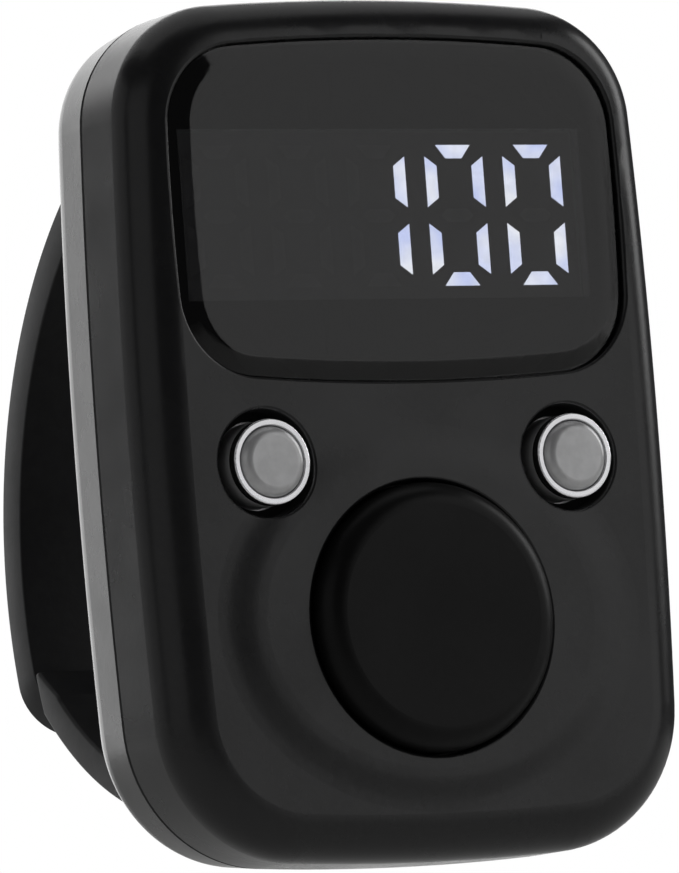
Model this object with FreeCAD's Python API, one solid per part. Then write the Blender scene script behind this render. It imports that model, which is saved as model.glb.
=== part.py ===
"""Ring tally counter: a two-shell case with a display, three buttons and a finger strap.

Frame: X to the right of someone reading the display, Y from the display towards the finger, Z up.
The origin is the centre of the raised pad on the case's back, where the finger lies.
All sizes are in millimetres. A "depth" is a distance behind the case's front plane.
"""
import FreeCAD, Part
import math
import os

os.makedirs("parts", exist_ok=True)
V = FreeCAD.Vector

# ---- case: overall size and walls --------------------------------------------------------------
case_width = 29.4
case_height = 42.1
case_depth = 9.85
case_side_bow = 320.0            # radius of the slightly bowed long sides
case_end_bow = 125.0             # radius of the slightly bowed top and bottom
case_corner_top = 5.8
case_corner_bottom = 7.2
bow_piece = 4.5                  # the bowed sides are drawn as arcs no longer than this
front_rounding = 2.2
rear_rounding = 2.4
rear_draft = 6.0                 # degrees the rear shell's sides lean in towards the back
side_wall = 1.3
front_wall = 1.6
rear_wall = 1.2
rear_shell_height = 4.55         # parting line to back
pad_rise = 0.25                  # finger pad above the case's back
pad_inset = 5.5                  # side of the case to the pad
pad_corner = 2.0
pad_gap = 0.8                    # pad to the ears of the strap lugs
parting_chamfer = 0.12
lip_end_gap = 0.1                # lip of the rear shell to the plane of the board
lip_wall = 0.6
shell_gap = 0.05
lip_rounding = 0.18              # soft edge of the openings in the front

# ---- window ------------------------------------------------------------------------------------
window_width = 24.8
window_height = 16.65
window_margin = 2.22             # top of the case to the top of the window
window_bow = 110.0
window_corner = 4.0
window_gap = 0.08
window_recess = 0.08
pane_thickness = 0.9
pane_slope_width = 0.9           # sloping rim of the pane
pane_slope_drop = 0.2
pane_rounding = 2.5
glue_thickness = 0.1
glue_margin = 0.15

# ---- display module ----------------------------------------------------------------------------
digit_count = 5
digit_pitch = 4.42
digit_width = 3.29
digit_height = 6.92
segment_thickness = 0.66
segment_gap = 0.4                # free height at the middle of a digit, above and below its centre
reading = "  100"                # what the display shows, one character a digit
display_margin = 0.6             # housing beyond the outer digits
display_shift = -0.4             # middle of the digits from the middle of the case
display_drop = 0.15              # middle of the digits below the middle of the window
display_gap = 0.7                # pane to display face
display_play = 0.1               # housing in its opening in the front wall
diffuser_thickness = 0.6
led_length = 0.8
led_width = 0.36
led_height = 0.35

# ---- boards and switches -----------------------------------------------------------------------
board_thickness = 0.8
board_gap = 0.25                 # board edge to the case's side wall
board_depth = 4.0                # front plane to the board's front face

# ---- count button ------------------------------------------------------------------------------
count_radius = 6.55
count_rise = 11.65               # bottom of the case to the button's centre
count_proud = 1.35
count_rounding = 1.15
count_gap = 0.12
count_travel = 0.4
count_flange = 0.8               # wider than the hole by this much
mound_height = 0.19
mound_top_radius = 7.3
mound_foot_radius = 9.4
mound_stretch = 1.25             # the mound is this much wider than tall

# ---- side buttons ------------------------------------------------------------------------------
small_turn = 42.2                # degrees above the horizontal, from the count button to a side button
button_clearance = 1.16          # between the flanges of a side button and the count button
small_radius = 2.08
small_proud = 0.6
small_gap = 0.1
small_travel = 0.3
small_flange = 0.6
well_radius = 2.6
well_depth = 1.15
ring_width = 0.33
ring_height = 0.55
ring_rounding = 0.07
cap_proud = 0.3                  # middle of a side button above its ring
cap_rounding = 0.5

# ---- what all the buttons share ----------------------------------------------------------------
flange_thickness = 0.5
stop_gap = 0.05                  # flange to the wall it rests on
plunger_gap = 0.05
touch_gap = 0.02

# ---- battery and charging ----------------------------------------------------------------------
battery_width = 17.0
battery_height = 17.0
battery_thickness = 2.7
battery_margin = 7.3             # top of the case to the top of the cell
battery_gap = 0.15               # board to battery
lead_radius = 0.3
socket_width = 8.94
socket_height = 3.16
socket_length = 7.35
socket_rise = 11.4               # bottom of the case to the socket's middle
socket_wall = 0.3
socket_setback = 0.35            # mouth inside the case's side
socket_play = 0.18
tongue_thickness = 0.7

# ---- screws ------------------------------------------------------------------------------------
screw_margin_x = 4.4             # side of the case to a screw
screw_margin_z = 4.8             # end of the case to a screw
screw_radius = 0.7
screw_head_radius = 1.25
screw_head_height = 0.8
screw_bite = 2.0                 # thread length past the board
post_radius = 1.5
bore_play = 0.1

# ---- strap -------------------------------------------------------------------------------------
strap_width = 14.0
strap_thickness = 1.85
strap_reach = 20.25              # back of the case to the strap's far side
strap_centre_z = -4.3            # height of the far side
strap_play = 0.02
pin_radius = 0.75
pin_play = 0.04
pin_margin_top = 3.95            # end of the case to a pin
pin_margin_bottom = 4.9
eye_wall = 1.0
eye_gap = 0.2                    # eye to the case's back
eye_step = 0.4                   # strap's outside below the top of its eye
ear_width = 1.4
ear_gap = 0.2
pin_tip = 1.1                    # how far each end of the pin goes into its ear
overlap_start = -13.0            # angles on the strap's circle, measured up from the horizontal
overlap_end = -19.0
tip_angle = -20.3
tip_corner = 2.8                 # rounded corners of the tip
sag = 1.4                        # how far the lower half hangs below a straight line to its eye
stud_angles = (-16.0,)
spare_hole_angles = (-7.0, 2.0, 11.0)
stud_radius = 0.85
stud_head_radius = 1.3
stud_head_height = 0.6

# ---- derived sizes -----------------------------------------------------------------------------
back_y = -pad_rise
front_y = back_y - case_depth
parting_y = back_y - rear_shell_height
floor_y = back_y - rear_wall
lip_height = case_depth - rear_shell_height - board_depth - lip_end_gap
half_width = case_width / 2
half_height = case_height / 2
pane_depth = window_recess + pane_thickness
seat_depth = pane_depth + glue_thickness
display_face = pane_depth + display_gap
display_width = (digit_count - 1) * digit_pitch + digit_width + 2 * display_margin
display_height = digit_height + 2 * display_margin
board_back = board_depth + board_thickness
flange_depth = front_wall + stop_gap
button_foot = flange_depth + flange_thickness
window_centre_z = half_height - window_margin - window_height / 2
display_z = window_centre_z - display_drop
count_z = count_rise - half_height
flange_reach = count_radius + count_gap + count_flange + small_radius + small_gap + small_flange
small_x = (flange_reach + button_clearance) * math.cos(math.radians(small_turn))
small_z = count_z + (flange_reach + button_clearance) * math.sin(math.radians(small_turn))
screw_x = half_width - screw_margin_x
screw_z = half_height - screw_margin_z
socket_z = socket_rise - half_height
battery_z = half_height - battery_margin - battery_height / 2
eye_radius = pin_radius + eye_wall
pin_y = back_y + eye_radius + eye_gap
pin_top_z = half_height - pin_margin_top
pin_bottom_z = pin_margin_bottom - half_height
strap_rise = pin_top_z + eye_radius - eye_step - strap_centre_z
strap_far_y = back_y + strap_reach
strap_centre_y = (strap_far_y ** 2 - pin_y ** 2 - strap_rise ** 2) / (2 * (strap_far_y - pin_y))
strap_radius = strap_far_y - strap_centre_y
strap_inner = strap_radius - strap_thickness


def at(depth):
    """Y of a plane this far behind the front plane."""
    return front_y + depth


def box(x0, y0, z0, x1, y1, z1):
    """Box between two corners."""
    return Part.makeBox(x1 - x0, y1 - y0, z1 - z0, V(x0, y0, z0))


def rod_y(radius, y0, y1, x=0.0, z=0.0):
    """Cylinder along Y."""
    return Part.makeCylinder(radius, y1 - y0, V(x, y0, z), V(0, 1, 0))


def rod_x(radius, x0, x1, y, z):
    """Cylinder along X."""
    return Part.makeCylinder(radius, x1 - x0, V(x0, y, z), V(1, 0, 0))


def face_of(edges):
    """Flat face inside a closed loop of edges."""
    return Part.Face(Part.Wire(Part.__sortEdges__(edges)))


def joined(solids):
    """One solid out of several that meet."""
    return solids[0].multiFuse(solids[1:]).removeSplitter()


def save(name, shape):
    """Write one sub-part."""
    shape.exportStep("parts/%s.step" % name)
    print("%-24s %2d solid(s) %10.3f mm3" % (name, len(shape.Solids), shape.Volume))


def edges_at_y(shape, y, reach=1e9, centre=(0.0, 0.0)):
    """Edges that lie in the plane at y, no further than reach from a point in it."""
    found = []
    for edge in shape.Edges:
        bounds = edge.BoundBox
        if abs(bounds.YMin - y) < 1e-4 and abs(bounds.YMax - y) < 1e-4:
            far_x = max(abs(bounds.XMin - centre[0]), abs(bounds.XMax - centre[0]))
            far_z = max(abs(bounds.ZMin - centre[1]), abs(bounds.ZMax - centre[1]))
            if max(far_x, far_z) < reach:
                found.append(edge)
    return found


# ---- outlines ----------------------------------------------------------------------------------
def corner_place(width, height, side_bow, end_bow, corner):
    """Centre of a corner arc that meets a bowed side and a bowed end, and the turns where it does."""
    side_x = width / 2 - side_bow
    end_z = height / 2 - end_bow
    gap = math.hypot(side_x, end_z)
    reach = side_bow - corner
    along = (reach ** 2 - (end_bow - corner) ** 2 + gap ** 2) / (2 * gap)
    across = math.sqrt(reach ** 2 - along ** 2)
    unit_x, unit_z = -side_x / gap, end_z / gap
    x = side_x + along * unit_x - across * unit_z
    z = along * unit_z + across * unit_x
    return x, z, math.atan2(z, x - side_x), math.atan2(z - end_z, x)


def bow(centre, radius, inset, start, end):
    """Shallow arc about a centre in the XZ plane, moved inwards, as several pieces end to end."""
    count = max(1, math.ceil((end - start) * radius / bow_piece))
    turns = [start + (end - start) * step / (2 * count) for step in range(2 * count + 1)]
    reach = radius - inset
    points = [centre + V(reach * math.cos(turn), 0, reach * math.sin(turn)) for turn in turns]
    return [Part.Arc(*points[step:step + 3]).toShape() for step in range(0, 2 * count, 2)]


def bowed_face(width, height, side_bow, end_bow, corners, inset, y, centre_z=0.0):
    """Rounded rectangle with bowed sides, drawn at y and moved inwards by inset."""
    edges = []
    side_turns = []
    for up, corner in zip((1, -1), corners):
        x, z, side_turn, end_turn = corner_place(width, height, side_bow, end_bow, corner)
        side_turns.append(side_turn)
        centre = V(0, y, centre_z + up * (height / 2 - end_bow))
        spread = math.pi / 2 - end_turn
        edges += bow(centre, end_bow, inset, up * math.pi / 2 - spread, up * math.pi / 2 + spread)
        for sign in (1, -1):
            points = []
            for turn in (side_turn, (side_turn + end_turn) / 2, end_turn):
                point_x = x + (corner - inset) * math.cos(turn)
                point_z = z + (corner - inset) * math.sin(turn)
                points.append(V(sign * point_x, y, centre_z + up * point_z))
            edges.append(Part.Arc(*points).toShape())
    top, bottom = side_turns
    side_x = width / 2 - side_bow
    edges += bow(V(side_x, y, centre_z), side_bow, inset, -bottom, top)
    edges += bow(V(-side_x, y, centre_z), side_bow, inset, math.pi - top, math.pi + bottom)
    return face_of(edges)


def case_face(inset, y):
    """The case's outline, moved inwards, at y."""
    corners = (case_corner_top, case_corner_bottom)
    return bowed_face(case_width, case_height, case_side_bow, case_end_bow, corners, inset, y)


def case_slab(inset, y0, y1):
    """The case's outline, moved inwards, as a slab between two planes."""
    return case_face(inset, y0).extrude(V(0, y1 - y0, 0))


def window_face(inset, y):
    """The window's outline, moved inwards, at y."""
    corners = (window_corner, window_corner)
    return bowed_face(window_width, window_height, window_bow, window_bow, corners,
                      inset, y, window_centre_z)


def window_slab(inset, y0, y1):
    """The window's outline, moved inwards, as a slab between two planes."""
    return window_face(inset, y0).extrude(V(0, y1 - y0, 0))


def screw_places():
    """Centres of the four case screws."""
    return [(x, z) for x in (-screw_x, screw_x) for z in (-screw_z, screw_z)]


def socket_slot(play, x0, x1):
    """Rounded slot round the charging socket, along X."""
    radius = socket_height / 2 + play
    middle_y = at(board_back + socket_height / 2)
    low_z = socket_z - socket_width / 2 + socket_height / 2
    high_z = socket_z + socket_width / 2 - socket_height / 2
    ends = [rod_x(radius, x0, x1, middle_y, low_z), rod_x(radius, x0, x1, middle_y, high_z)]
    return joined(ends + [box(x0, middle_y - radius, low_z, x1, middle_y + radius, high_z)])


# ---- front shell -------------------------------------------------------------------------------
def mound():
    """Low swelling of the front face round the count button."""
    run = mound_foot_radius - mound_top_radius
    middle = mound_top_radius + run / 2
    radius = ((run / 2) ** 2 + (mound_height / 2) ** 2) / mound_height
    turn = math.asin(run / 2 / radius) / 2
    sag_x, sag_y = radius * math.sin(turn), radius * (1 - math.cos(turn))
    top_y = front_y - mound_height
    inside_y = front_y + front_wall / 2

    def p(r, y):
        return V(r, y, 0)

    high_arc = Part.Arc(p(mound_top_radius, top_y), p(mound_top_radius + sag_x, top_y + sag_y),
                        p(middle, front_y - mound_height / 2))
    low_arc = Part.Arc(p(middle, front_y - mound_height / 2), p(mound_foot_radius - sag_x, front_y - sag_y),
                       p(mound_foot_radius, front_y))
    corners = [p(mound_foot_radius, front_y), p(mound_foot_radius, inside_y), p(0, inside_y), p(0, top_y),
               p(mound_top_radius, top_y)]
    lines = [Part.LineSegment(a, b).toShape() for a, b in zip(corners, corners[1:])]
    profile = face_of([high_arc.toShape(), low_arc.toShape()] + lines)
    swelling = profile.revolve(V(0, 0, 0), V(0, 1, 0), 360)
    stretch = FreeCAD.Matrix()
    stretch.scale(mound_stretch, 1, 1)
    swelling = swelling.transformGeometry(stretch)
    swelling.translate(V(0, 0, count_z))
    return swelling


def front_shell():
    """Front half of the case, with its window seat, button holes and screw posts."""
    body = case_slab(0, front_y, parting_y)
    body = body.makeFillet(front_rounding, edges_at_y(body, front_y))
    body = body.makeChamfer(parting_chamfer, edges_at_y(body, parting_y))
    body = body.cut(case_slab(side_wall, at(front_wall), parting_y + 1))
    body = body.fuse(mound())
    posts = [rod_y(post_radius, at(front_wall / 2), at(board_depth), x, z) for x, z in screw_places()]
    body = body.multiFuse(posts)
    holes = [window_slab(-window_gap, front_y - 1, at(seat_depth)), display_opening()]
    holes.append(rod_y(count_radius + count_gap, front_y - 2, at(front_wall) + 1, 0, count_z))
    for x in (-small_x, small_x):
        holes.append(rod_y(well_radius, front_y - 2, at(well_depth), x, small_z))
        holes.append(rod_y(small_radius + small_gap, front_y, at(front_wall) + 1, x, small_z))
    body = body.cut(Part.makeCompound(holes))
    body = body.makeFillet(lip_rounding, rim_edges(body))
    pilots = [rod_y(screw_radius + touch_gap, at(board_depth - screw_bite - 0.2), parting_y, x, z)
              for x, z in screw_places()]
    pilots.append(socket_slot(socket_play, half_width - 3, half_width + 1))
    return body.cut(Part.makeCompound(pilots))


def display_opening():
    """Opening in the window's seat for the display housing."""
    half_x = display_width / 2 + display_play
    half_z = display_height / 2 + display_play
    return box(display_shift - half_x, front_y, display_z - half_z,
               display_shift + half_x, at(front_wall) + 1, display_z + half_z)


def rim_edges(body):
    """Outer edges of the window opening, the count button's hole and the two wells."""
    found = []
    for edge in body.Edges:
        bounds = edge.BoundBox
        in_face = bounds.YMax < front_y + 1e-3
        across = max(bounds.XMax, -bounds.XMin)
        window_rim = bounds.ZMin > window_centre_z - window_height and across < window_width / 2 + 1
        on_count = on_circle(edge, 0, count_z, count_radius + count_gap)
        on_well = any(on_circle(edge, x, small_z, well_radius) for x in (-small_x, small_x))
        if in_face and ((window_rim and on_window_rim(edge)) or on_count or on_well):
            found.append(edge)
    return found


def on_circle(edge, x, z, radius):
    """Whether an edge runs along a circle about a line parallel to Y."""
    points = edge.discretize(5)
    return all(abs(math.hypot(p.x - x, p.z - z) - radius) < 1e-3 for p in points)


def on_window_rim(edge):
    """Whether an edge belongs to the window opening rather than the case's own outline."""
    half_x = window_width / 2 + window_gap + 1e-3
    low_z = window_centre_z - window_height / 2 - window_gap - 1e-3
    high_z = window_centre_z + window_height / 2 + window_gap + 1e-3
    return all(abs(p.x) < half_x and low_z < p.z < high_z for p in edge.discretize(5))


# ---- rear shell --------------------------------------------------------------------------------
def ear(sign, pin_z):
    """One ear of a strap lug: a rounded tab on the case's back, with a blind hole for the pin."""
    inner = strap_width / 2 + ear_gap
    x0 = inner if sign > 0 else -inner - ear_width
    x1 = x0 + ear_width
    root_y = back_y - rear_wall / 2
    tab = joined([rod_x(eye_radius, x0, x1, pin_y, pin_z),
                  box(x0, root_y, pin_z - eye_radius, x1, pin_y, pin_z + eye_radius)])
    depth = ear_gap + pin_tip + pin_play
    start = strap_width / 2 if sign > 0 else -strap_width / 2 - depth
    return tab, rod_x(pin_radius + pin_play, start, start + depth, pin_y, pin_z)


def leaning_slab(y0, y1):
    """The case's outline as a slab whose sides lean inwards towards y1."""
    lean = (y1 - y0) * math.tan(math.radians(rear_draft))
    outlines = [case_face(0, y0).OuterWire, case_face(lean, y1).OuterWire]
    return Part.makeLoft(outlines, True, True)


def finger_pad():
    """Low flat pad between the strap lugs."""
    half_x = half_width - pad_inset
    low = pin_bottom_z + eye_radius + pad_gap
    high = pin_top_z - eye_radius - pad_gap
    pad = box(-half_x, back_y - rear_wall / 2, low, half_x, 0, high)
    upright = [edge for edge in pad.Edges if edge.BoundBox.YLength > 0.01]
    return pad.makeFillet(pad_corner, upright)


def rear_shell():
    """Rear half of the case, with its lip, screw tubes and strap lugs."""
    body = leaning_slab(parting_y, back_y)
    body = body.makeFillet(rear_rounding, edges_at_y(body, back_y))
    body = body.makeChamfer(parting_chamfer, edges_at_y(body, parting_y))
    lip = case_slab(side_wall + shell_gap, parting_y - lip_height, parting_y + 0.5)
    body = body.fuse(lip)
    inner_corner = min(rear_rounding - side_wall / 2, side_wall)
    cavity = case_slab(side_wall + shell_gap + lip_wall, parting_y - lip_height - 1, floor_y)
    cavity = cavity.makeFillet(inner_corner, edges_at_y(cavity, floor_y))
    body = body.cut(cavity)
    tubes = [rod_y(post_radius, at(board_back), back_y - rear_wall / 2, x, z) for x, z in screw_places()]
    body = body.multiFuse(tubes + [finger_pad()])
    ears, holes = [], []
    for pin_z in (pin_top_z, pin_bottom_z):
        for sign in (-1, 1):
            tab, hole = ear(sign, pin_z)
            ears.append(tab)
            holes.append(hole)
    body = body.multiFuse(ears)
    for x, z in screw_places():
        holes.append(rod_y(screw_radius + bore_play, at(board_back) - 1, 1, x, z))
        holes.append(rod_y(screw_head_radius + bore_play, back_y - screw_head_height - bore_play, 1, x, z))
    holes.append(socket_slot(socket_play, half_width - 4, half_width + 1))
    return body.cut(Part.makeCompound(holes))


def case_screws():
    """Four cross-headed screws from the back."""
    head_y = back_y - bore_play
    tip_y = at(board_depth - screw_bite)
    slot_half, slot_depth = 0.18, 0.4
    reach = screw_head_radius * 0.65
    screws = []
    for x, z in screw_places():
        head = rod_y(screw_head_radius, head_y - screw_head_height, head_y, x, z)
        head = head.makeChamfer(0.15, edges_at_y(head, head_y))
        screw = joined([head, rod_y(screw_radius, tip_y, head_y - screw_head_height / 2, x, z)])
        cross = [box(x - reach, head_y - slot_depth, z - slot_half, x + reach, 1, z + slot_half),
                 box(x - slot_half, head_y - slot_depth, z - reach, x + slot_half, 1, z + reach)]
        screws.append(screw.cut(joined(cross)))
    return Part.makeCompound(screws)


# ---- window and display ------------------------------------------------------------------------
def display_window():
    """Smoked pane in its recess, with a gently sloping rim."""
    face_y, slope_y = at(window_recess), at(window_recess + pane_slope_drop)
    outlines = [window_face(pane_slope_width, face_y).OuterWire, window_face(0, slope_y).OuterWire]
    pane = Part.makeLoft(outlines, True, True).fuse(window_slab(0, slope_y, at(pane_depth)))
    return pane.makeFillet(pane_rounding, edges_at_y(pane, face_y))


def window_adhesive():
    """Thin frame of glue between the pane and its seat."""
    frame = window_slab(glue_margin, at(pane_depth), at(seat_depth))
    return frame.cut(display_opening())


def segment_outline(name):
    """Corner points of one segment about the digit's centre, long side outwards."""
    half_x, half_z, thick = digit_width / 2, digit_height / 2, segment_thickness
    if name in "ad":
        side = 1 if name == "a" else -1
        long_half, short_half = half_x - thick, half_x - 1.8 * thick
        return [(-long_half, side * half_z), (long_half, side * half_z),
                (short_half, side * (half_z - thick)), (-short_half, side * (half_z - thick))]
    if name == "g":
        long_half, short_half = half_x - 1.1 * thick, half_x - 1.6 * thick
        return [(-long_half, 0), (-short_half, thick / 2), (short_half, thick / 2),
                (long_half, 0), (short_half, -thick / 2), (-short_half, -thick / 2)]
    side = 1 if name in "bc" else -1
    up = 1 if name in "bf" else -1
    high, slope = half_z - 0.85 * thick, 0.7 * thick
    return [(side * half_x, up * high), (side * (half_x - thick), up * (high - slope)),
            (side * (half_x - thick), up * (segment_gap + slope)), (side * half_x, up * segment_gap)]


def digit_centres():
    """X of each digit, from the left."""
    first = display_shift - (digit_count - 1) * digit_pitch / 2
    return [first + index * digit_pitch for index in range(digit_count)]


def segment_prism(name, centre_x, y0, y1):
    """One segment as a prism between two planes."""
    points = [V(centre_x + x, y0, display_z + z) for x, z in segment_outline(name)]
    loop = Part.makePolygon(points + points[:1])
    return Part.Face(loop).extrude(V(0, y1 - y0, 0))


def segment_sets():
    """The segments that are lit and those that aren't, as (name, x) pairs."""
    shapes = {" ": "", "0": "abcdef", "1": "bc"}
    lit, unlit = [], []
    for character, centre_x in zip(reading, digit_centres()):
        for name in "abcdefg":
            chosen = lit if name in shapes[character] else unlit
            chosen.append((name, centre_x))
    return lit, unlit


def diffusers(pairs):
    """Light-spreading plugs in the face of the housing."""
    y0, y1 = at(display_face), at(display_face + diffuser_thickness)
    return Part.makeCompound([segment_prism(name, x, y0, y1) for name, x in pairs])


def display_housing():
    """Block with a light well for every segment."""
    half_x, half_z = display_width / 2, display_height / 2
    block = box(display_shift - half_x, at(display_face), display_z - half_z,
                display_shift + half_x, at(board_depth), display_z + half_z)
    lit, unlit = segment_sets()
    wells = [segment_prism(name, x, at(display_face) - 1, at(board_depth) + 1) for name, x in lit + unlit]
    return block.cut(Part.makeCompound(wells))


def led_chips():
    """One light on the board behind every segment."""
    lit, unlit = segment_sets()
    chips = []
    for name, centre_x in lit + unlit:
        outline = segment_outline(name)
        middle_x = centre_x + (min(x for x, z in outline) + max(x for x, z in outline)) / 2
        middle_z = display_z + (min(z for x, z in outline) + max(z for x, z in outline)) / 2
        flat = name in "adg"
        half_x, half_z = (led_length / 2, led_width / 2) if flat else (led_width / 2, led_length / 2)
        chips.append(box(middle_x - half_x, at(board_depth) - led_height, middle_z - half_z,
                         middle_x + half_x, at(board_depth), middle_z + half_z))
    return Part.makeCompound(chips)


# ---- board and what sits on it -----------------------------------------------------------------
def main_board():
    """Circuit board, clear of the rear shell's lip and drilled for the screws."""
    inset = side_wall + shell_gap + lip_wall + board_gap
    board = case_slab(inset, at(board_depth), at(board_back))
    holes = [rod_y(screw_radius + bore_play, at(board_depth) - 1, at(board_back) + 1, x, z)
             for x, z in screw_places()]
    return board.cut(Part.makeCompound(holes))


def controller_chip():
    """Controller on the back of the board, with a row of legs along two sides."""
    half, height, centre_x, centre_z = 2.4, 0.9, -6.2, -9.6
    leg_count, leg_pitch, leg_half, leg_reach, leg_height = 8, 0.55, 0.11, 0.45, 0.2
    pieces = [box(centre_x - half, at(board_back), centre_z - half,
                  centre_x + half, at(board_back + height), centre_z + half)]
    for index in range(leg_count):
        leg_z = centre_z + (index - (leg_count - 1) / 2) * leg_pitch
        pieces.append(box(centre_x - half - leg_reach, at(board_back), leg_z - leg_half,
                          centre_x + half + leg_reach, at(board_back + leg_height), leg_z + leg_half))
    return joined(pieces)


def smd_parts():
    """Chip resistors and capacitors in two rows on the back of the board."""
    length, width, height = 1.0, 0.5, 0.45
    first_x, pitch = -9.0, 1.6
    parts = []
    for row, z in enumerate((-14.2, -5.4)):
        for column in range(4 + row):
            x = first_x + column * pitch
            parts.append(box(x, at(board_back), z, x + width, at(board_back + height), z + length))
    return Part.makeCompound(parts)


def switch_sizes(count):
    """Half side, plunger radius and travel of a switch."""
    if count:
        return 3.0, 1.6, count_travel
    return 1.7, 0.8, small_travel


def switch_body(x, z, half, plunger, travel):
    """Plastic base of a push switch, with a well for its plunger."""
    top, cover = button_foot + travel + 0.25, 0.15
    body = box(x - half, at(top + cover), z - half, x + half, at(board_depth), z + half)
    floor = at(board_depth) - 0.2
    return body.cut(rod_y(plunger + plunger_gap, at(top) - 1, floor, x, z))


def switch_cover(x, z, half, plunger, travel):
    """Sheet cap over the base, with a hole for the plunger."""
    top, cover = button_foot + travel + 0.25, 0.15
    plate = box(x - half, at(top), z - half, x + half, at(top + cover), z + half)
    return plate.cut(rod_y(plunger + plunger_gap, at(top) - 1, at(top + cover) + 1, x, z))


def switch_plunger(x, z, half, plunger, travel):
    """Moving plug of the switch, just touching its button."""
    floor = at(board_depth) - 0.2
    return rod_y(plunger, at(button_foot), floor - travel - 0.1, x, z)


def save_switch(name, x, z, count):
    """All three pieces of one switch."""
    half, plunger, travel = switch_sizes(count)
    save(name + "_body", switch_body(x, z, half, plunger, travel))
    save(name + "_cover", switch_cover(x, z, half, plunger, travel))
    save(name + "_plunger", switch_plunger(x, z, half, plunger, travel))


# ---- buttons -----------------------------------------------------------------------------------
def count_button():
    """Large round button with a flange that keeps it in the case."""
    cap = rod_y(count_radius, front_y - count_proud, at(flange_depth), 0, count_z)
    cap = cap.makeFillet(count_rounding, edges_at_y(cap, front_y - count_proud))
    hole_radius = count_radius + count_gap
    flange = rod_y(hole_radius + count_flange, at(flange_depth), at(button_foot), 0, count_z)
    hollow = rod_y(count_radius - 1.3, front_y, at(flange_depth), 0, count_z)
    stem = rod_y(2.6, front_y, at(button_foot), 0, count_z)
    opening = rod_y(count_radius - 1.3, at(0), at(button_foot) + 1, 0, count_z)
    return joined([cap.cut(hollow), flange.cut(opening), stem])


def small_button_cap(x):
    """Side button: raised middle, stepped to carry its ring, with a flange inside the case."""
    top_y = front_y - small_proud
    core = small_radius - ring_width - touch_gap
    step_y = top_y + ring_height
    middle = rod_y(core, top_y - cap_proud, step_y, x, small_z)
    middle = middle.makeFillet(cap_rounding, edges_at_y(middle, top_y - cap_proud))
    pieces = [middle,
              rod_y(small_radius, step_y, at(flange_depth), x, small_z),
              rod_y(small_radius + small_gap + small_flange, at(flange_depth), at(button_foot), x, small_z)]
    return joined(pieces)


def small_button_ring(x):
    """Bright ring round the top of a side button."""
    top_y = front_y - small_proud
    ring = rod_y(small_radius, top_y, top_y + ring_height, x, small_z)
    ring = ring.cut(rod_y(small_radius - ring_width, top_y - 1, top_y + ring_height + 1, x, small_z))
    return ring.makeFillet(ring_rounding, edges_at_y(ring, top_y))


# ---- battery and charging socket ---------------------------------------------------------------
def battery_cell():
    """Flat rechargeable pouch behind the board."""
    half = battery_width / 2
    y0 = at(board_back + battery_gap)
    low, high = battery_z - battery_height / 2, battery_z + battery_height / 2
    cell = box(-half, y0, low, half, y0 + battery_thickness, high)
    long_edges = [edge for edge in cell.Edges if edge.BoundBox.ZLength > battery_height * 0.9]
    return cell.makeFillet(battery_thickness * 0.3, long_edges)


def battery_tape():
    """Foam tape that holds the cell to the rear shell."""
    half_x, half_z = battery_width * 0.35, battery_height * 0.4
    y0 = at(board_back + battery_gap) + battery_thickness
    return box(-half_x, y0, battery_z - half_z, half_x, floor_y, battery_z + half_z)


def battery_leads():
    """Two insulated wires from the cell down to the board."""
    low = battery_z - battery_height / 2
    leads = []
    for x in (-1.2, 0.3):
        y = at(board_back + battery_gap) + battery_thickness / 2
        drop = 2.2
        bend = V(x, y, low - drop)
        down = Part.makeCylinder(lead_radius, drop, V(x, y, low), V(0, 0, -1))
        elbow = Part.makeSphere(lead_radius, bend)
        back = Part.makeCylinder(lead_radius, y - at(board_back), bend, V(0, -1, 0))
        leads.append(joined([down, elbow, back]))
    return Part.makeCompound(leads)


def charge_socket_shell():
    """Stamped shell of the charging socket, open at the case's right side."""
    mouth = half_width - socket_setback
    outer = socket_slot(0, mouth - socket_length, mouth)
    return outer.cut(socket_slot(-socket_wall, mouth - socket_length + 1.0, mouth + 1))


def charge_socket_tongue():
    """Contact tongue inside the socket."""
    mouth = half_width - socket_setback
    middle_y = at(board_back + socket_height / 2)
    half = socket_width / 2 - 1.3
    tongue = box(mouth - socket_length + 1.0, middle_y - tongue_thickness / 2, socket_z - half,
                 mouth - 0.7, middle_y + tongue_thickness / 2, socket_z + half)
    return tongue


# ---- strap -------------------------------------------------------------------------------------
def on_strap(radius, angle):
    """Point in the strap's side view, on a circle about the strap's centre."""
    turn = math.radians(angle)
    return V(0, strap_centre_y + radius * math.cos(turn), strap_centre_z + radius * math.sin(turn))


def angle_at(y, radius):
    """Angle on the upper half of the strap's circle where it reaches y."""
    return math.degrees(math.acos((y - strap_centre_y) / radius))


def strap_band(edges):
    """Band of the strap's width out of its side view."""
    band = face_of(edges).extrude(V(strap_width, 0, 0))
    band.translate(V(-strap_width / 2, 0, 0))
    return band


def arc(start, middle, end):
    """Arc edge through three points."""
    return Part.Arc(start, middle, end).toShape()


def line(start, end):
    """Straight edge."""
    return Part.LineSegment(start, end).toShape()


def studs_at(angles, radius, inner, outer):
    """Round posts across the strap, between two radii of its circle."""
    posts = []
    for angle in angles:
        foot = on_strap(inner, angle)
        posts.append(Part.makeCylinder(radius, outer - inner, foot, on_strap(outer, angle) - foot))
    return posts


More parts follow.
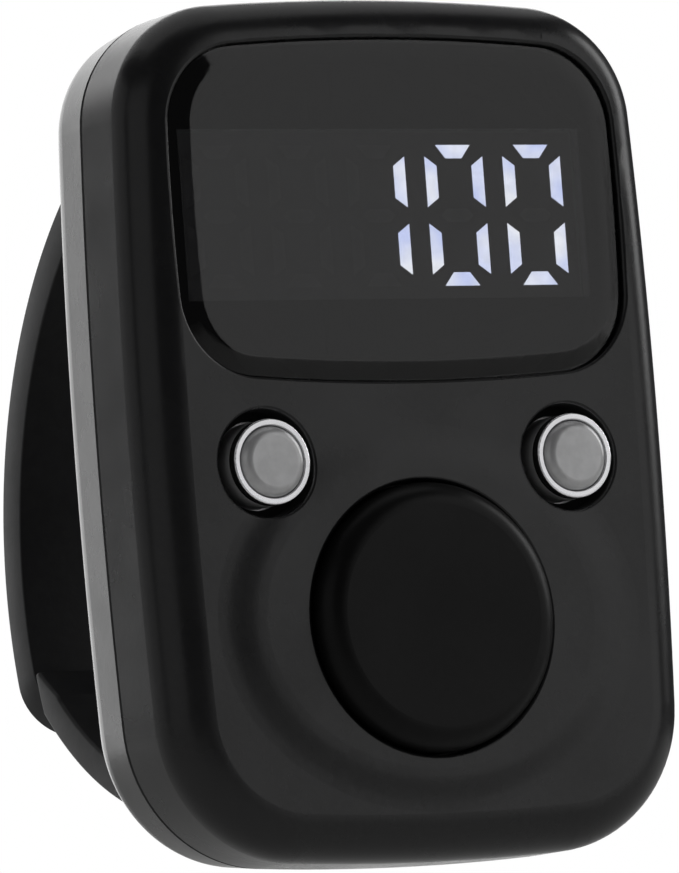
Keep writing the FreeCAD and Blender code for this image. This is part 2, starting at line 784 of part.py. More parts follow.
def strap_long():
    """Upper half of the strap: from its eye, round the finger, to a tip with rounded corners."""
    start_out = angle_at(pin_y, strap_radius)
    start_in = angle_at(pin_y, strap_inner)
    out = [on_strap(strap_radius, turn) for turn in (start_out, (start_out + tip_angle) / 2, tip_angle)]
    inn = [on_strap(strap_inner, turn) for turn in (tip_angle, (start_in + tip_angle) / 2, start_in)]
    band = strap_band([arc(*out), line(out[-1], inn[0]), arc(*inn), line(inn[-1], out[0])])
    tip = (out[-1] + inn[0]) * 0.5
    corners = [edge for edge in band.Edges
               if abs(edge.CenterOfMass.distanceToPoint(tip) - strap_width / 2) < 0.01]
    band = band.makeFillet(tip_corner, corners)
    eye = rod_x(eye_radius, -strap_width / 2, strap_width / 2, pin_y, pin_top_z)
    band = joined([band, eye])
    holes = [rod_x(pin_radius + touch_gap, -strap_width, strap_width, pin_y, pin_top_z)]
    holes += studs_at(stud_angles + spare_hole_angles, stud_radius + strap_play,
                      strap_inner - 1, strap_radius + 1)
    return band.cut(Part.makeCompound(holes))


def strap_short():
    """Lower half of the strap: from its eye up under the long half, with its studs."""
    outer = strap_inner - strap_play
    inner = outer - strap_thickness
    top_out, top_in = on_strap(outer, overlap_start), on_strap(inner, overlap_start)
    end_out, end_in = on_strap(outer, overlap_end), on_strap(inner, overlap_end)
    middle = (overlap_start + overlap_end) / 2
    eye_out = V(0, pin_y, pin_bottom_z - eye_radius)
    eye_in = V(0, pin_y, pin_bottom_z + eye_radius - 0.2)
    sag_out = (end_out + eye_out) * 0.5 + V(0, sag * 0.75, -sag)
    sag_in = (end_in + eye_in) * 0.5 + V(0, sag * 0.6, -sag)
    band = strap_band([arc(top_out, on_strap(outer, middle), end_out), arc(end_out, sag_out, eye_out),
                       line(eye_out, eye_in), arc(eye_in, sag_in, end_in),
                       arc(end_in, on_strap(inner, middle), top_in), line(top_in, top_out)])
    eye = rod_x(eye_radius, -strap_width / 2, strap_width / 2, pin_y, pin_bottom_z)
    pieces = [band, eye]
    pieces += studs_at(stud_angles, stud_radius, outer - 0.5, strap_radius + strap_play)
    pieces += studs_at(stud_angles, stud_head_radius, strap_radius + strap_play,
                       strap_radius + strap_play + stud_head_height)
    band = joined(pieces)
    return band.cut(rod_x(pin_radius + touch_gap, -strap_width, strap_width, pin_y, pin_bottom_z))


def strap_pin(pin_z):
    """Steel pin through a strap eye and its two ears."""
    half = strap_width / 2 + ear_gap + pin_tip
    pin = rod_x(pin_radius, -half, half, pin_y, pin_z)
    ends = [edge for edge in pin.Edges if edge.BoundBox.XLength < 1e-4]
    return pin.makeChamfer(0.15, ends)


def build():
    """Write every sub-part."""
    save("front_shell", front_shell())
    save("rear_shell", rear_shell())
    save("case_screws", case_screws())
    save("display_window", display_window())
    save("window_adhesive", window_adhesive())
    save("display_housing", display_housing())
    lit, unlit = segment_sets()
    save("segments_lit", diffusers(lit))
    save("segments_unlit", diffusers(unlit))
    save("led_chips", led_chips())
    save("main_board", main_board())
    save("controller_chip", controller_chip())
    save("smd_parts", smd_parts())
    save("count_button", count_button())
    save_switch("count_switch", 0, count_z, True)
    for side, x in (("left", -small_x), ("right", small_x)):
        save(side + "_button_cap", small_button_cap(x))
        save(side + "_button_ring", small_button_ring(x))
        save_switch(side + "_switch", x, small_z, False)
    save("battery_cell", battery_cell())
    save("battery_tape", battery_tape())
    save("battery_leads", battery_leads())
    save("charge_socket_shell", charge_socket_shell())
    save("charge_socket_tongue", charge_socket_tongue())
    save("strap_long", strap_long())
    save("strap_short", strap_short())
    save("strap_pin_top", strap_pin(pin_top_z))
    save("strap_pin_bottom", strap_pin(pin_bottom_z))


build()
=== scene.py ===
# %% [markdown]
# # A ring tally counter, one piece at a time
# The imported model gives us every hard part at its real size, in metres, already in place.
# In this lesson we light it, give every part its own finish, and model the soft strap by hand,
# because a strap of silicone has rounded edges that a plain solid doesn't show.

# %% Load the model
import math
import bpy
from mathutils import Matrix, Vector


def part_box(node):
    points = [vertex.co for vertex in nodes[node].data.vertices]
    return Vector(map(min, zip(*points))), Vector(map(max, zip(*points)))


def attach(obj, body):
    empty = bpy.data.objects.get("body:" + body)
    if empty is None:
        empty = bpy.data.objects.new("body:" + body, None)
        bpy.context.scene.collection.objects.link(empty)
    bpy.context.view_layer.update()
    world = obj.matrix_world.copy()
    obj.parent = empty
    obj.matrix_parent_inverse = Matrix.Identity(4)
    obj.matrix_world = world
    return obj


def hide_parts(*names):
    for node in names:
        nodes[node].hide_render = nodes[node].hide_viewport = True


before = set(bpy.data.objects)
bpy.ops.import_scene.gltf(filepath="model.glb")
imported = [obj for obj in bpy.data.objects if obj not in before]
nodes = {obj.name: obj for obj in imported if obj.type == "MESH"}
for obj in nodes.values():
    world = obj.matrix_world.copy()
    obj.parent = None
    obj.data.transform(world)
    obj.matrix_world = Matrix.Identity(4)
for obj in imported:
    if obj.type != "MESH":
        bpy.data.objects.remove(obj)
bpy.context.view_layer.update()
mm = 0.001

# %% [markdown]
# ## Places we will need
# Everything we add is placed from the parts that are already there. We read the box of a part
# and work out centres from it, so a changed part moves what belongs to it.

# %% Places read from the frame
def centre_of(node):
    """Middle of a part's box."""
    low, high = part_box(node)
    return (low + high) / 2


pane_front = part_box("display_window")[0].y
pin_top = centre_of("strap_pin_top")
pin_bottom = centre_of("strap_pin_bottom")
print("strap pins at mm:", [round(v / mm, 2) for v in (*pin_top, *pin_bottom)])

# %% [markdown]
# ## Camera
# A product picture is taken from far away with a long lens, so the case keeps nearly parallel
# sides. We turn three angles and a distance into the camera's place: first the direction from
# the object to the camera, then the camera's own right and up, rolled by a few degrees.

# %% Camera
swing, rise, roll = math.radians(30.1), math.radians(-5.5), math.radians(4.3)
camera_distance = 469 * mm
camera_lens = 400.5
aim = Vector((-3.25 * mm, pane_front + 1.77 * mm, -0.32 * mm))

to_camera = Vector((-math.sin(swing) * math.cos(rise), -math.cos(swing) * math.cos(rise), math.sin(rise)))
flat_right = Vector((math.cos(swing), -math.sin(swing), 0))
flat_up = to_camera.cross(flat_right)
camera_right = flat_right * math.cos(roll) - flat_up * math.sin(roll)
camera_up = flat_right * math.sin(roll) + flat_up * math.cos(roll)

camera_data = bpy.data.cameras.new("camera")
camera_data.lens = camera_lens
camera_data.clip_start, camera_data.clip_end = 0.01, 20
camera = bpy.data.objects.new("camera", camera_data)
turn = Matrix((camera_right, camera_up, to_camera)).transposed().to_4x4()
camera.matrix_world = Matrix.Translation(aim + to_camera * camera_distance) @ turn
bpy.context.scene.collection.objects.link(camera)
bpy.context.scene.camera = camera
print("camera at mm:", [round(v / mm) for v in camera.location])

# %% [markdown]
# ## Studio
# Black plastic has almost no colour of its own: we see what it reflects. So we light it with
# large soft panels and keep the room between them dark. A white panel behind the object gives
# the bright line along every edge that turns away from us.

# %% Studio lights
def panel(name, direction, distance, width, height, radiance):
    """Soft panel light of a given brightness, facing the object."""
    data = bpy.data.lights.new(name, "AREA")
    data.shape = "RECTANGLE"
    data.size, data.size_y = width, height
    data.energy = radiance * math.pi * width * height
    light = bpy.data.objects.new(name, data)
    away = Vector(direction).normalized()
    light.location = away * distance
    light.rotation_euler = away.to_track_quat("Z", "Y").to_euler()
    light.visible_camera = False
    bpy.context.scene.collection.objects.link(light)
    print(name, "power in watts:", round(data.energy, 3))
    return light


panel("panel_behind", (0.16, 0.98, 0.08), 0.9, 1.1, 1.0, 1.8)
panel("panel_key", (0.62, -0.75, 0.22), 0.8, 0.5, 0.7, 0.72)
panel("panel_left", (-0.82, 0.56, 0.10), 0.8, 0.70, 0.9, 0.27)
panel("panel_side", (-1.0, -0.45, 0.10), 0.8, 0.75, 0.9, 0.26)
panel("panel_top", (0.1, 0.30, 1.0), 0.8, 1.0, 1.0, 0.45)
panel("panel_right", (1.0, -0.12, 0.40), 0.8, 0.30, 0.45, 2.6)

# %% World and floor
world = bpy.data.worlds.new("studio")
bpy.context.scene.world = world
world.use_nodes = True
tree = world.node_tree
tree.nodes.clear()
room_light = tree.nodes.new("ShaderNodeBackground")
room_light.inputs["Color"].default_value = (0.06, 0.06, 0.062, 1)
seen_white = tree.nodes.new("ShaderNodeBackground")
seen_white.inputs["Color"].default_value = (1, 1, 1, 1)
path = tree.nodes.new("ShaderNodeLightPath")
choose = tree.nodes.new("ShaderNodeMixShader")
out = tree.nodes.new("ShaderNodeOutputWorld")
tree.links.new(path.outputs["Is Camera Ray"], choose.inputs["Fac"])
tree.links.new(room_light.outputs[0], choose.inputs[1])
tree.links.new(seen_white.outputs[0], choose.inputs[2])
tree.links.new(choose.outputs[0], out.inputs["Surface"])

floor_drop = 75 * mm
bpy.ops.object.select_all(action="DESELECT")
bpy.ops.mesh.primitive_plane_add(size=3.0, location=(0, 0, -floor_drop))
floor = bpy.context.object
floor.name = "floor"
bpy.ops.object.transform_apply(location=True, rotation=True, scale=True)
bpy.context.scene.view_settings.view_transform = "Standard"

# %% [markdown]
# ## Shared effects
# Three effects come back in many finishes, so each is a node group: the fine grain of a mould,
# the fine lines of a turned or brushed metal, and faint handling marks. A group only makes
# values; the shader of each finish decides what they do.

# %% Node helpers
def new_group(name, inputs, outputs):
    """Empty node group with float inputs and float outputs."""
    group = bpy.data.node_groups.new(name, "ShaderNodeTree")
    group.interface.new_socket("Place", in_out="INPUT", socket_type="NodeSocketVector")
    for label, value in inputs:
        socket = group.interface.new_socket(label, in_out="INPUT", socket_type="NodeSocketFloat")
        socket.default_value = value
    for label in outputs:
        group.interface.new_socket(label, in_out="OUTPUT", socket_type="NodeSocketFloat")
    return group, group.nodes.new("NodeGroupInput"), group.nodes.new("NodeGroupOutput")


def noise(tree, place, scale, detail=3.0, rough=0.5):
    """Noise texture; scale is a number or a socket."""
    node = tree.nodes.new("ShaderNodeTexNoise")
    node.inputs["Detail"].default_value = detail
    node.inputs["Roughness"].default_value = rough
    tree.links.new(place, node.inputs["Vector"])
    if isinstance(scale, (int, float)):
        node.inputs["Scale"].default_value = scale
    else:
        tree.links.new(scale, node.inputs["Scale"])
    return node.outputs["Fac"]


def remap(tree, value, low, high, to_low, to_high):
    """Map Range between fixed limits."""
    node = tree.nodes.new("ShaderNodeMapRange")
    for label, number in (("From Min", low), ("From Max", high), ("To Min", to_low), ("To Max", to_high)):
        node.inputs[label].default_value = number
    tree.links.new(value, node.inputs["Value"])
    return node.outputs["Result"]


def combine(tree, operation, first, second):
    """Math node on two sockets or numbers."""
    node = tree.nodes.new("ShaderNodeMath")
    node.operation = operation
    for index, value in enumerate((first, second)):
        if isinstance(value, (int, float)):
            node.inputs[index].default_value = value
        else:
            tree.links.new(value, node.inputs[index])
    return node.outputs[0]


# %% Group: mould grain
grain_group, group_in, group_out = new_group("mould_grain", [("Scale", 6000.0)], ["Height", "Mask"])
fine = noise(grain_group, group_in.outputs["Place"], group_in.outputs["Scale"], 2.0, 0.6)
coarse_scale = combine(grain_group, "MULTIPLY", group_in.outputs["Scale"], 0.31)
coarse = noise(grain_group, group_in.outputs["Place"], coarse_scale, 2.0, 0.5)
grain_sum = combine(grain_group, "ADD", fine, coarse)
grain_group.links.new(grain_sum, group_out.inputs["Height"])
grain_group.links.new(remap(grain_group, coarse, 0.35, 0.65, 0.0, 1.0), group_out.inputs["Mask"])
print("group:", grain_group.name)

# %% Group: handling marks
marks_group, group_in, group_out = new_group("handling_marks", [("Scale", 180.0)], ["Smudge", "Dust"])
cloud = noise(marks_group, group_in.outputs["Place"], group_in.outputs["Scale"], 4.0, 0.55)
marks_group.links.new(remap(marks_group, cloud, 0.35, 0.7, 0.0, 1.0), group_out.inputs["Smudge"])
speck_scale = combine(marks_group, "MULTIPLY", group_in.outputs["Scale"], 28.0)
speck = noise(marks_group, group_in.outputs["Place"], speck_scale, 1.0, 0.5)
marks_group.links.new(remap(marks_group, speck, 0.70, 0.78, 0.0, 1.0), group_out.inputs["Dust"])
print("group:", marks_group.name)

# %% Group: fine lines of turned and brushed metal
lines_group, group_in, group_out = new_group("fine_lines", [("Scale", 9000.0)], ["Height", "Mask"])
stretch = lines_group.nodes.new("ShaderNodeMapping")
stretch.inputs["Scale"].default_value = (0.04, 1.0, 1.0)
lines_group.links.new(group_in.outputs["Place"], stretch.inputs["Vector"])
lines = noise(lines_group, stretch.outputs["Vector"], group_in.outputs["Scale"], 3.0, 0.7)
lines_group.links.new(lines, group_out.inputs["Height"])
lines_group.links.new(remap(lines_group, lines, 0.3, 0.7, 0.0, 1.0), group_out.inputs["Mask"])
print("group:", lines_group.name)


# %% [markdown]
# ## One way to build a finish
# Each finish starts from the same steps: a Principled shader, a place on the object, two colours
# that a mask mixes, a roughness that a second mask moves, and a bump from the grain. What differs
# is the numbers, and they come from what the part is made of.

# %% Finish builder
def group_node(tree, group, place, scale):
    """Place a node group in a tree."""
    node = tree.nodes.new("ShaderNodeGroup")
    node.node_tree = group
    node.inputs["Scale"].default_value = scale
    tree.links.new(place, node.inputs["Place"])
    return node


def colour_mix(tree, mask, dark, light):
    """Mix of two fixed colours by a mask."""
    node = tree.nodes.new("ShaderNodeMix")
    node.data_type = "RGBA"
    node.inputs["A"].default_value = (*dark, 1)
    node.inputs["B"].default_value = (*light, 1)
    tree.links.new(mask, node.inputs["Factor"])
    return node.outputs["Result"]


def finish(name, dark, light, rough, texture=grain_group, scale=6000.0, depth=0.02, marks=180.0, **plain):
    """Material with varied colour, roughness and bump; plain holds fixed shader values."""
    material = bpy.data.materials.new(name)
    material.use_nodes = True
    tree = material.node_tree
    shader = tree.nodes["Principled BSDF"]
    place = tree.nodes.new("ShaderNodeTexCoord").outputs["Object"]
    grain = group_node(tree, texture, place, scale)
    handled = group_node(tree, marks_group, place, marks)
    tree.links.new(colour_mix(tree, grain.outputs["Mask"], dark, light), shader.inputs["Base Color"])
    roughness = remap(tree, handled.outputs["Smudge"], 0, 1, rough[0], rough[1])
    tree.links.new(roughness, shader.inputs["Roughness"])
    bump = tree.nodes.new("ShaderNodeBump")
    bump.inputs["Strength"].default_value = depth
    bump.inputs["Distance"].default_value = 0.05 * mm
    tree.links.new(grain.outputs["Height"], bump.inputs["Height"])
    tree.links.new(bump.outputs["Normal"], shader.inputs["Normal"])
    for label, value in plain.items():
        shader.inputs[label.replace("_", " ")].default_value = value
    print("finish:", name)
    return material


def wear(material, *names):
    """Give CAD nodes a material."""
    for name in names:
        slots = nodes[name].data.materials
        slots.clear()
        slots.append(material)


# %% [markdown]
# ## Case and buttons
# The case is moulded in satin black, the count button is more matt so that a thumb finds it, and
# the side buttons are silver grey domes in bright rings. The wells round them get painted shade:
# a mask by distance from their centres paints the case's colour darker there, and makes it duller.

# %% Painted shade in the wells round the side buttons
well_rim, well_floor = 2.9 * mm, 2.6 * mm
well_depth = 2.0 * mm
well_centre = centre_of("right_button_ring")
well_centre.y = pane_front - 0.08 * mm


def paint_well_shade(material):
    """Paint shade into the wells round the side buttons, by distance from their centres, and make them fully
    rough.
    """
    tree = material.node_tree
    shader = tree.nodes["Principled BSDF"]
    place = tree.nodes.new("ShaderNodeTexCoord").outputs["Object"]
    apart = tree.nodes.new("ShaderNodeSeparateXYZ")
    tree.links.new(place, apart.inputs[0])
    across = combine(tree, "SUBTRACT", combine(tree, "ABSOLUTE", apart.outputs["X"], 0), well_centre.x)
    upward = combine(tree, "SUBTRACT", apart.outputs["Z"], well_centre.z)
    distance = combine(tree, "SQRT", combine(tree, "ADD", combine(tree, "MULTIPLY", across, across),
                                             combine(tree, "MULTIPLY", upward, upward)), 0)
    depth = combine(tree, "SUBTRACT", apart.outputs["Y"], well_centre.y)
    near = remap(tree, distance, well_rim, well_floor, 0, 1)
    deep = remap(tree, depth, 0.05 * mm, 0.25 * mm, 0, 1)
    front = remap(tree, depth, well_depth + 0.2 * mm, well_depth, 0, 1)
    inside = combine(tree, "MULTIPLY", combine(tree, "MULTIPLY", near, deep), front)
    # Painted shade: in the wells the base colour is painted nearly black, and the roughness is set to 1.
    for label, target in (("Base Color", (0.001, 0.001, 0.001, 1)), ("Roughness", 1.0)):
        before = shader.inputs[label].links[0].from_socket
        blend = tree.nodes.new("ShaderNodeMix")
        blend.data_type = "RGBA" if label == "Base Color" else "FLOAT"
        sockets = [item for item in blend.inputs if item.enabled and item.name in ("A", "B")]
        tree.links.new(inside, blend.inputs["Factor"])
        tree.links.new(before, sockets[0])
        sockets[1].default_value = target
        result = [item for item in blend.outputs if item.enabled][0]
        tree.links.new(result, shader.inputs[label])


# %% Case
case_finish = finish("case_satin_black", (0.006, 0.006, 0.0065), (0.009, 0.009, 0.0095), (0.24, 0.32),
                     depth=0.06, scale=9000.0)
# Painted shade goes into the wells round the side buttons here.
paint_well_shade(case_finish)
wear(case_finish, "front_shell", "rear_shell")

# %% Buttons
cap_finish = finish("count_matt_black", (0.002, 0.002, 0.002), (0.003, 0.003, 0.003), (0.36, 0.44),
                    depth=0.05, scale=7000.0, Specular_IOR_Level=0.2)
wear(cap_finish, "count_button")
dome_finish = finish("side_cap_grey", (0.56, 0.56, 0.565), (0.62, 0.62, 0.625), (0.30, 0.40), depth=0.05,
                     Metallic=0.5)
wear(dome_finish, "left_button_cap", "right_button_cap")
ring_finish = finish("ring_bright", (0.86, 0.86, 0.88), (0.92, 0.92, 0.94), (0.20, 0.28), texture=lines_group,
                     depth=0.05, Metallic=1.0)
wear(ring_finish, "left_button_ring", "right_button_ring")


# %% [markdown]
# ## Window and display
# The pane is smoked acrylic. Light from the segments passes it, and the parts behind stay nearly
# hidden. The lit plugs glow a cold white, a little uneven from plug to plug, and the unlit
# ones are a dull grey that only just shows.

# %% Smoked pane
wear(finish("pane_smoked", (0.16, 0.16, 0.165), (0.18, 0.18, 0.185), (0.04, 0.08), depth=0.01, marks=90.0,
            Transmission_Weight=1.0, IOR=1.49, Specular_IOR_Level=0.42), "display_window")


# %% Glowing and dull segments
def glowing_segments():
    """Cold white light, slightly uneven from plug to plug."""
    material = finish("segment_glow", (0.80, 0.82, 0.90), (0.86, 0.88, 0.95), (0.45, 0.55))
    tree = material.node_tree
    shader = tree.nodes["Principled BSDF"]
    place = tree.nodes.new("ShaderNodeTexCoord").outputs["Object"]
    tint = noise(tree, place, 420.0, 2.0)
    glow = colour_mix(tree, remap(tree, tint, 0.35, 0.65, 0, 1), (0.62, 0.70, 1.0), (0.92, 0.95, 1.0))
    tree.links.new(glow, shader.inputs["Emission Color"])
    shader.inputs["Emission Strength"].default_value = 5.0
    return material


wear(glowing_segments(), "segments_lit")
wear(finish("segment_dull", (0.10, 0.096, 0.092), (0.13, 0.125, 0.12), (0.5, 0.6)), "segments_unlit")
for name, node in (("housing_black", "display_housing"), ("glue_black", "window_adhesive")):
    wear(finish(name, (0.003, 0.003, 0.003), (0.005, 0.005, 0.005), (0.7, 0.8), Specular_IOR_Level=0.05), node)

# %% [markdown]
# ## Inside parts
# They are hidden in a closed case, but the model can be opened, so each gets the finish of its
# real material: green solder mask, black chips, stamped steel, foil and foam.

# %% Inside parts of plastic, ceramic and foam
wear(finish("led_moulded", (0.72, 0.70, 0.52), (0.80, 0.78, 0.60), (0.4, 0.5)), "led_chips")
wear(finish("board_mask", (0.010, 0.085, 0.040), (0.020, 0.130, 0.060), (0.25, 0.4), scale=2200.0),
     "main_board")
wear(finish("chip_moulded", (0.014, 0.014, 0.015), (0.022, 0.022, 0.022), (0.4, 0.5)), "controller_chip",
     "charge_socket_tongue")
wear(finish("chip_ceramic", (0.38, 0.31, 0.22), (0.50, 0.42, 0.31), (0.4, 0.55)), "smd_parts")
wear(finish("switch_moulded", (0.020, 0.020, 0.021), (0.035, 0.035, 0.036), (0.4, 0.5)), "count_switch_body",
     "left_switch_body", "right_switch_body")
wear(finish("plunger_moulded", (0.09, 0.09, 0.09), (0.13, 0.13, 0.13), (0.4, 0.5)), "count_switch_plunger",
     "left_switch_plunger", "right_switch_plunger")
wear(finish("tape_foam", (0.60, 0.60, 0.56), (0.74, 0.74, 0.70), (0.8, 0.9), depth=0.4, scale=4000.0),
     "battery_tape")
wear(finish("lead_red", (0.40, 0.02, 0.02), (0.50, 0.03, 0.03), (0.35, 0.45)), "battery_leads")

# %% Inside parts of metal
wear(finish("pouch_foil", (0.52, 0.53, 0.55), (0.64, 0.65, 0.67), (0.2, 0.4), depth=0.1, scale=1500.0,
            Metallic=1.0), "battery_cell")
wear(finish("switch_stamped", (0.50, 0.50, 0.49), (0.62, 0.62, 0.61), (0.25, 0.4), texture=lines_group,
            Metallic=1.0), "count_switch_cover", "left_switch_cover", "right_switch_cover")
wear(finish("socket_stamped", (0.52, 0.52, 0.53), (0.66, 0.66, 0.67), (0.22, 0.35), texture=lines_group,
            Metallic=1.0), "charge_socket_shell")
wear(finish("screw_black", (0.05, 0.05, 0.052), (0.09, 0.09, 0.092), (0.35, 0.45), texture=lines_group,
            Metallic=1.0), "case_screws")
wear(finish("pin_turned", (0.50, 0.50, 0.50), (0.62, 0.62, 0.62), (0.2, 0.3), texture=lines_group,
            Metallic=1.0), "strap_pin_top", "strap_pin_bottom")

# %% Floor
floor_finish = finish("floor_pale", (0.78, 0.78, 0.77), (0.82, 0.82, 0.81), (0.6, 0.7), scale=60.0, marks=2.0)
floor.data.materials.append(floor_finish)

# %% [markdown]
# ## The strap's two bands
# A finger strap is moulded in soft silicone, so none of its edges is sharp. We draw the square
# cross-section of the band once, and spin it about the middle of the strap's circle. That is how
# the curve stays true along its whole length. Then we cut round corners at the tip, soften every
# edge with a Bevel modifier, weld a round eye to the end for the pin, and punch the holes.

# %% Strap sizes
strap_middle = Vector((0, -3.291, -4.3)) * mm
long_radius = 23.291 * mm
band_thickness = 1.85 * mm
band_width = 14 * mm
band_edge = 0.48 * mm
short_radius = long_radius - band_thickness - 0.02 * mm
eye_radius = 1.75 * mm
eye_rounding = 0.35 * mm
bore_radius = 0.775 * mm
stud_angle = -16.0
hole_angles = (stud_angle, -7.0, 2.0, 11.0)
print("strap circle in mm:", round(long_radius / mm, 2))


# %% Tools for a band
def on_circle(centre, radius, degrees):
    """Point of the side view, on a circle about a line along X."""
    turn = math.radians(degrees)
    return centre + Vector((0, radius * math.cos(turn), radius * math.sin(turn)))


def edit(obj, mode="EDGE"):
    """Open one object in edit mode with everything selected."""
    bpy.ops.object.select_all(action="DESELECT")
    obj.select_set(True)
    bpy.context.view_layer.objects.active = obj
    bpy.ops.object.mode_set(mode="EDIT")
    bpy.ops.mesh.select_mode(type=mode)
    bpy.ops.mesh.select_all(action="SELECT")


def close_up():
    """Merge doubles, point every face outwards and go back to object mode."""
    bpy.ops.mesh.select_all(action="SELECT")
    bpy.ops.mesh.remove_doubles(threshold=0.001 * mm)
    bpy.ops.mesh.normals_make_consistent(inside=False)
    bpy.ops.object.mode_set(mode="OBJECT")


def band(name, radius, first, last, steps):
    """Band with square edges, spun about the strap's middle from one angle to another."""
    start = on_circle(strap_middle, radius - band_thickness / 2, 0)
    bpy.ops.object.select_all(action="DESELECT")
    bpy.ops.mesh.primitive_plane_add(size=1.0, location=start)
    obj = bpy.context.object
    obj.name = obj.data.name = name
    bpy.ops.object.transform_apply(location=True, rotation=True, scale=True)
    edit(obj, "VERT")
    bpy.ops.transform.resize(value=(band_width, band_thickness, 1), center_override=start)
    bpy.ops.transform.rotate(value=-math.radians(first), orient_axis="X", center_override=strap_middle)
    bpy.ops.mesh.spin(steps=steps, angle=math.radians(first - last), center=strap_middle, axis=(1, 0, 0))
    close_up()
    return obj


def soften(obj, width):
    """Round every sharp edge with a Bevel modifier, and apply it."""
    modifier = obj.modifiers.new("soften", "BEVEL")
    modifier.width, modifier.segments, modifier.angle_limit = width, 4, math.radians(40)
    bpy.ops.object.select_all(action="DESELECT")
    obj.select_set(True)
    bpy.context.view_layer.objects.active = obj
    bpy.ops.object.modifier_apply(modifier=modifier.name)


def rod(name, radius, place, along, length, rounding=0.0):
    """Round rod centred on a place, with softened ends if asked."""
    bpy.ops.object.select_all(action="DESELECT")
    turn = Vector(along).to_track_quat("Z", "Y").to_euler()
    bpy.ops.mesh.primitive_cylinder_add(vertices=64, radius=radius, depth=length, location=place, rotation=turn)
    obj = bpy.context.object
    obj.name = obj.data.name = name
    bpy.ops.object.transform_apply(location=True, rotation=True, scale=True)
    if rounding:
        soften(obj, rounding)
    return obj


def block(name, place, along, size):
    """Square block centred on a place, its height along a direction."""
    bpy.ops.object.select_all(action="DESELECT")
    turn = Vector(along).to_track_quat("Z", "Y").to_euler()
    bpy.ops.mesh.primitive_cube_add(size=1.0, location=place, rotation=turn, scale=size)
    obj = bpy.context.object
    obj.name = obj.data.name = name
    bpy.ops.object.transform_apply(location=True, rotation=True, scale=True)
    return obj


def combine_with(obj, other, operation):
    """Weld another piece on, or cut it out, and drop the tool."""
    modifier = obj.modifiers.new("join", "BOOLEAN")
    modifier.operation, modifier.solver, modifier.object = operation, "EXACT", other
    bpy.ops.object.select_all(action="DESELECT")
    obj.select_set(True)
    bpy.context.view_layer.objects.active = obj
    bpy.ops.object.modifier_apply(modifier=modifier.name)
    bpy.data.objects.remove(other, do_unlink=True)


def soft_shading(obj):
    """Smooth shading with creases only where faces meet sharply."""
    bpy.ops.object.select_all(action="DESELECT")
    obj.select_set(True)
    bpy.context.view_layer.objects.active = obj
    bpy.ops.object.shade_smooth_by_angle(angle=math.radians(38))
    print(obj.name, "faces:", len(obj.data.polygons))


# %% Long band: a tip with rounded corners
tip_angle = -20.3
tip_corner = 2.8 * mm
block_side = 3 * mm
long_band = band("strap_long_soft", long_radius, 77.4, tip_angle, 90)
tip_middle = on_circle(strap_middle, long_radius - band_thickness / 2, tip_angle)
outwards = (tip_middle - strap_middle).normalized()
upwards = Vector((0, -outwards.z, outwards.y))
for side in (-1, 1):
    centre = tip_middle + Vector((side * (band_width / 2 - tip_corner), 0, 0)) + upwards * tip_corner
    cutter_middle = centre + Vector((side * block_side / 2, 0, 0)) - upwards * block_side / 2
    cutter = block("cutter", cutter_middle, outwards, (block_side, block_side, 5 * mm))
    combine_with(cutter, rod("corner", tip_corner, centre, outwards, 8 * mm), "DIFFERENCE")
    combine_with(long_band, cutter, "DIFFERENCE")
edit(long_band)
close_up()
soften(long_band, band_edge)

# %% Long band: eye and holes
combine_with(long_band, rod("eye", eye_radius, pin_top, (1, 0, 0), band_width, eye_rounding), "UNION")
combine_with(long_band, rod("bore", bore_radius, pin_top, (1, 0, 0), 2 * band_width), "DIFFERENCE")
for degrees in hole_angles:
    middle = on_circle(strap_middle, long_radius, degrees)
    combine_with(long_band, rod("hole", 0.88 * mm, middle, middle - strap_middle, 8 * mm), "DIFFERENCE")
soft_shading(long_band)

# %% [markdown]
# ## The short band
# It starts inside the long one, thinned so that no step can be felt, then leaves the circle and
# bends forward to its own eye. We thin it one ring at a time, by moving the two inner corners of
# each ring outwards, less and less. Then we select only the last face, and spin that about
# another centre.

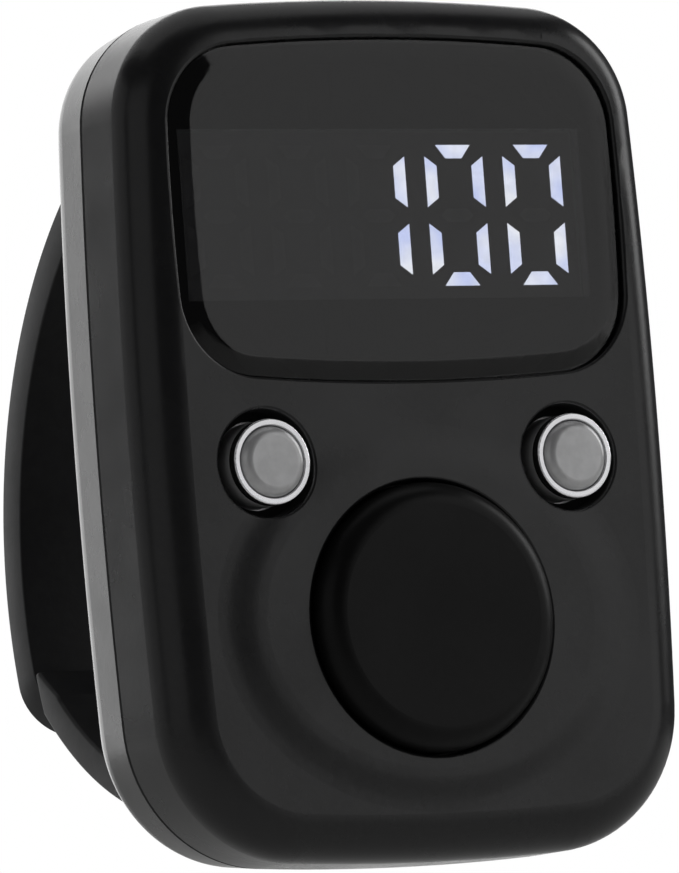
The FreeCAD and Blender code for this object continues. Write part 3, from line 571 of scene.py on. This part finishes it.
# %% Short band: a thinned start
start_angle, leave_angle = -13.1, -19.0
rings = 12
thinned_by = 1.45 * mm
short_band = band("strap_short_soft", short_radius, start_angle, leave_angle, rings)
for step in range(rings - 1):
    ring_angle = start_angle + step * (leave_angle - start_angle) / rings
    foot = on_circle(strap_middle, short_radius - band_thickness, ring_angle)
    move = (foot - strap_middle).normalized() * (1 - step / (rings - 1)) * thinned_by
    edit(short_band, "VERT")
    bpy.ops.mesh.select_all(action="DESELECT")
    bpy.ops.object.mode_set(mode="OBJECT")
    for vertex in short_band.data.vertices:
        vertex.select = math.hypot(vertex.co.y - foot.y, vertex.co.z - foot.z) < 0.02 * mm
    bpy.ops.object.mode_set(mode="EDIT")
    bpy.ops.transform.translate(value=move)
    bpy.ops.object.mode_set(mode="OBJECT")
print("thinned rings:", rings - 1)

# %% Short band: the bend to its eye
edit(short_band, "FACE")
bpy.ops.mesh.select_all(action="DESELECT")
end_middle = on_circle(strap_middle, short_radius - band_thickness / 2, leave_angle)
bpy.ops.object.mode_set(mode="OBJECT")
for face in short_band.data.polygons:
    face.select = (face.center - end_middle).length < 0.3 * mm
bpy.ops.object.mode_set(mode="EDIT")
second_middle = Vector((0, 1.594, 3.30)) * mm
bpy.ops.mesh.spin(steps=32, angle=math.radians(43.9), center=second_middle, axis=(1, 0, 0))
close_up()
soften(short_band, band_edge)

# %% Short band: eye and stud
combine_with(short_band, rod("eye", eye_radius, pin_bottom, (1, 0, 0), band_width, eye_rounding), "UNION")
combine_with(short_band, rod("bore", bore_radius, pin_bottom, (1, 0, 0), 2 * band_width), "DIFFERENCE")
post_length = 2.4 * mm
stud_foot = on_circle(strap_middle, short_radius - 0.5 * mm, stud_angle)
outwards = (stud_foot - strap_middle).normalized()
post_middle = stud_foot + outwards * post_length / 2
combine_with(short_band, rod("post", 0.84 * mm, post_middle, outwards, post_length), "UNION")
head_middle = on_circle(strap_middle, long_radius + 0.33 * mm, stud_angle)
combine_with(short_band, rod("head", 1.3 * mm, head_middle, outwards, 0.58 * mm, 0.2 * mm), "UNION")
soft_shading(short_band)

# %% The bands stand for the plain solids
strap_finish = finish("strap_silicone", (0.012, 0.012, 0.013), (0.017, 0.017, 0.018), (0.46, 0.56), depth=0.10,
                      scale=5000.0)
for piece, node in ((long_band, "strap_long"), (short_band, "strap_short")):
    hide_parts(node)
    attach(piece, "case")
    piece.data.materials.append(strap_finish)
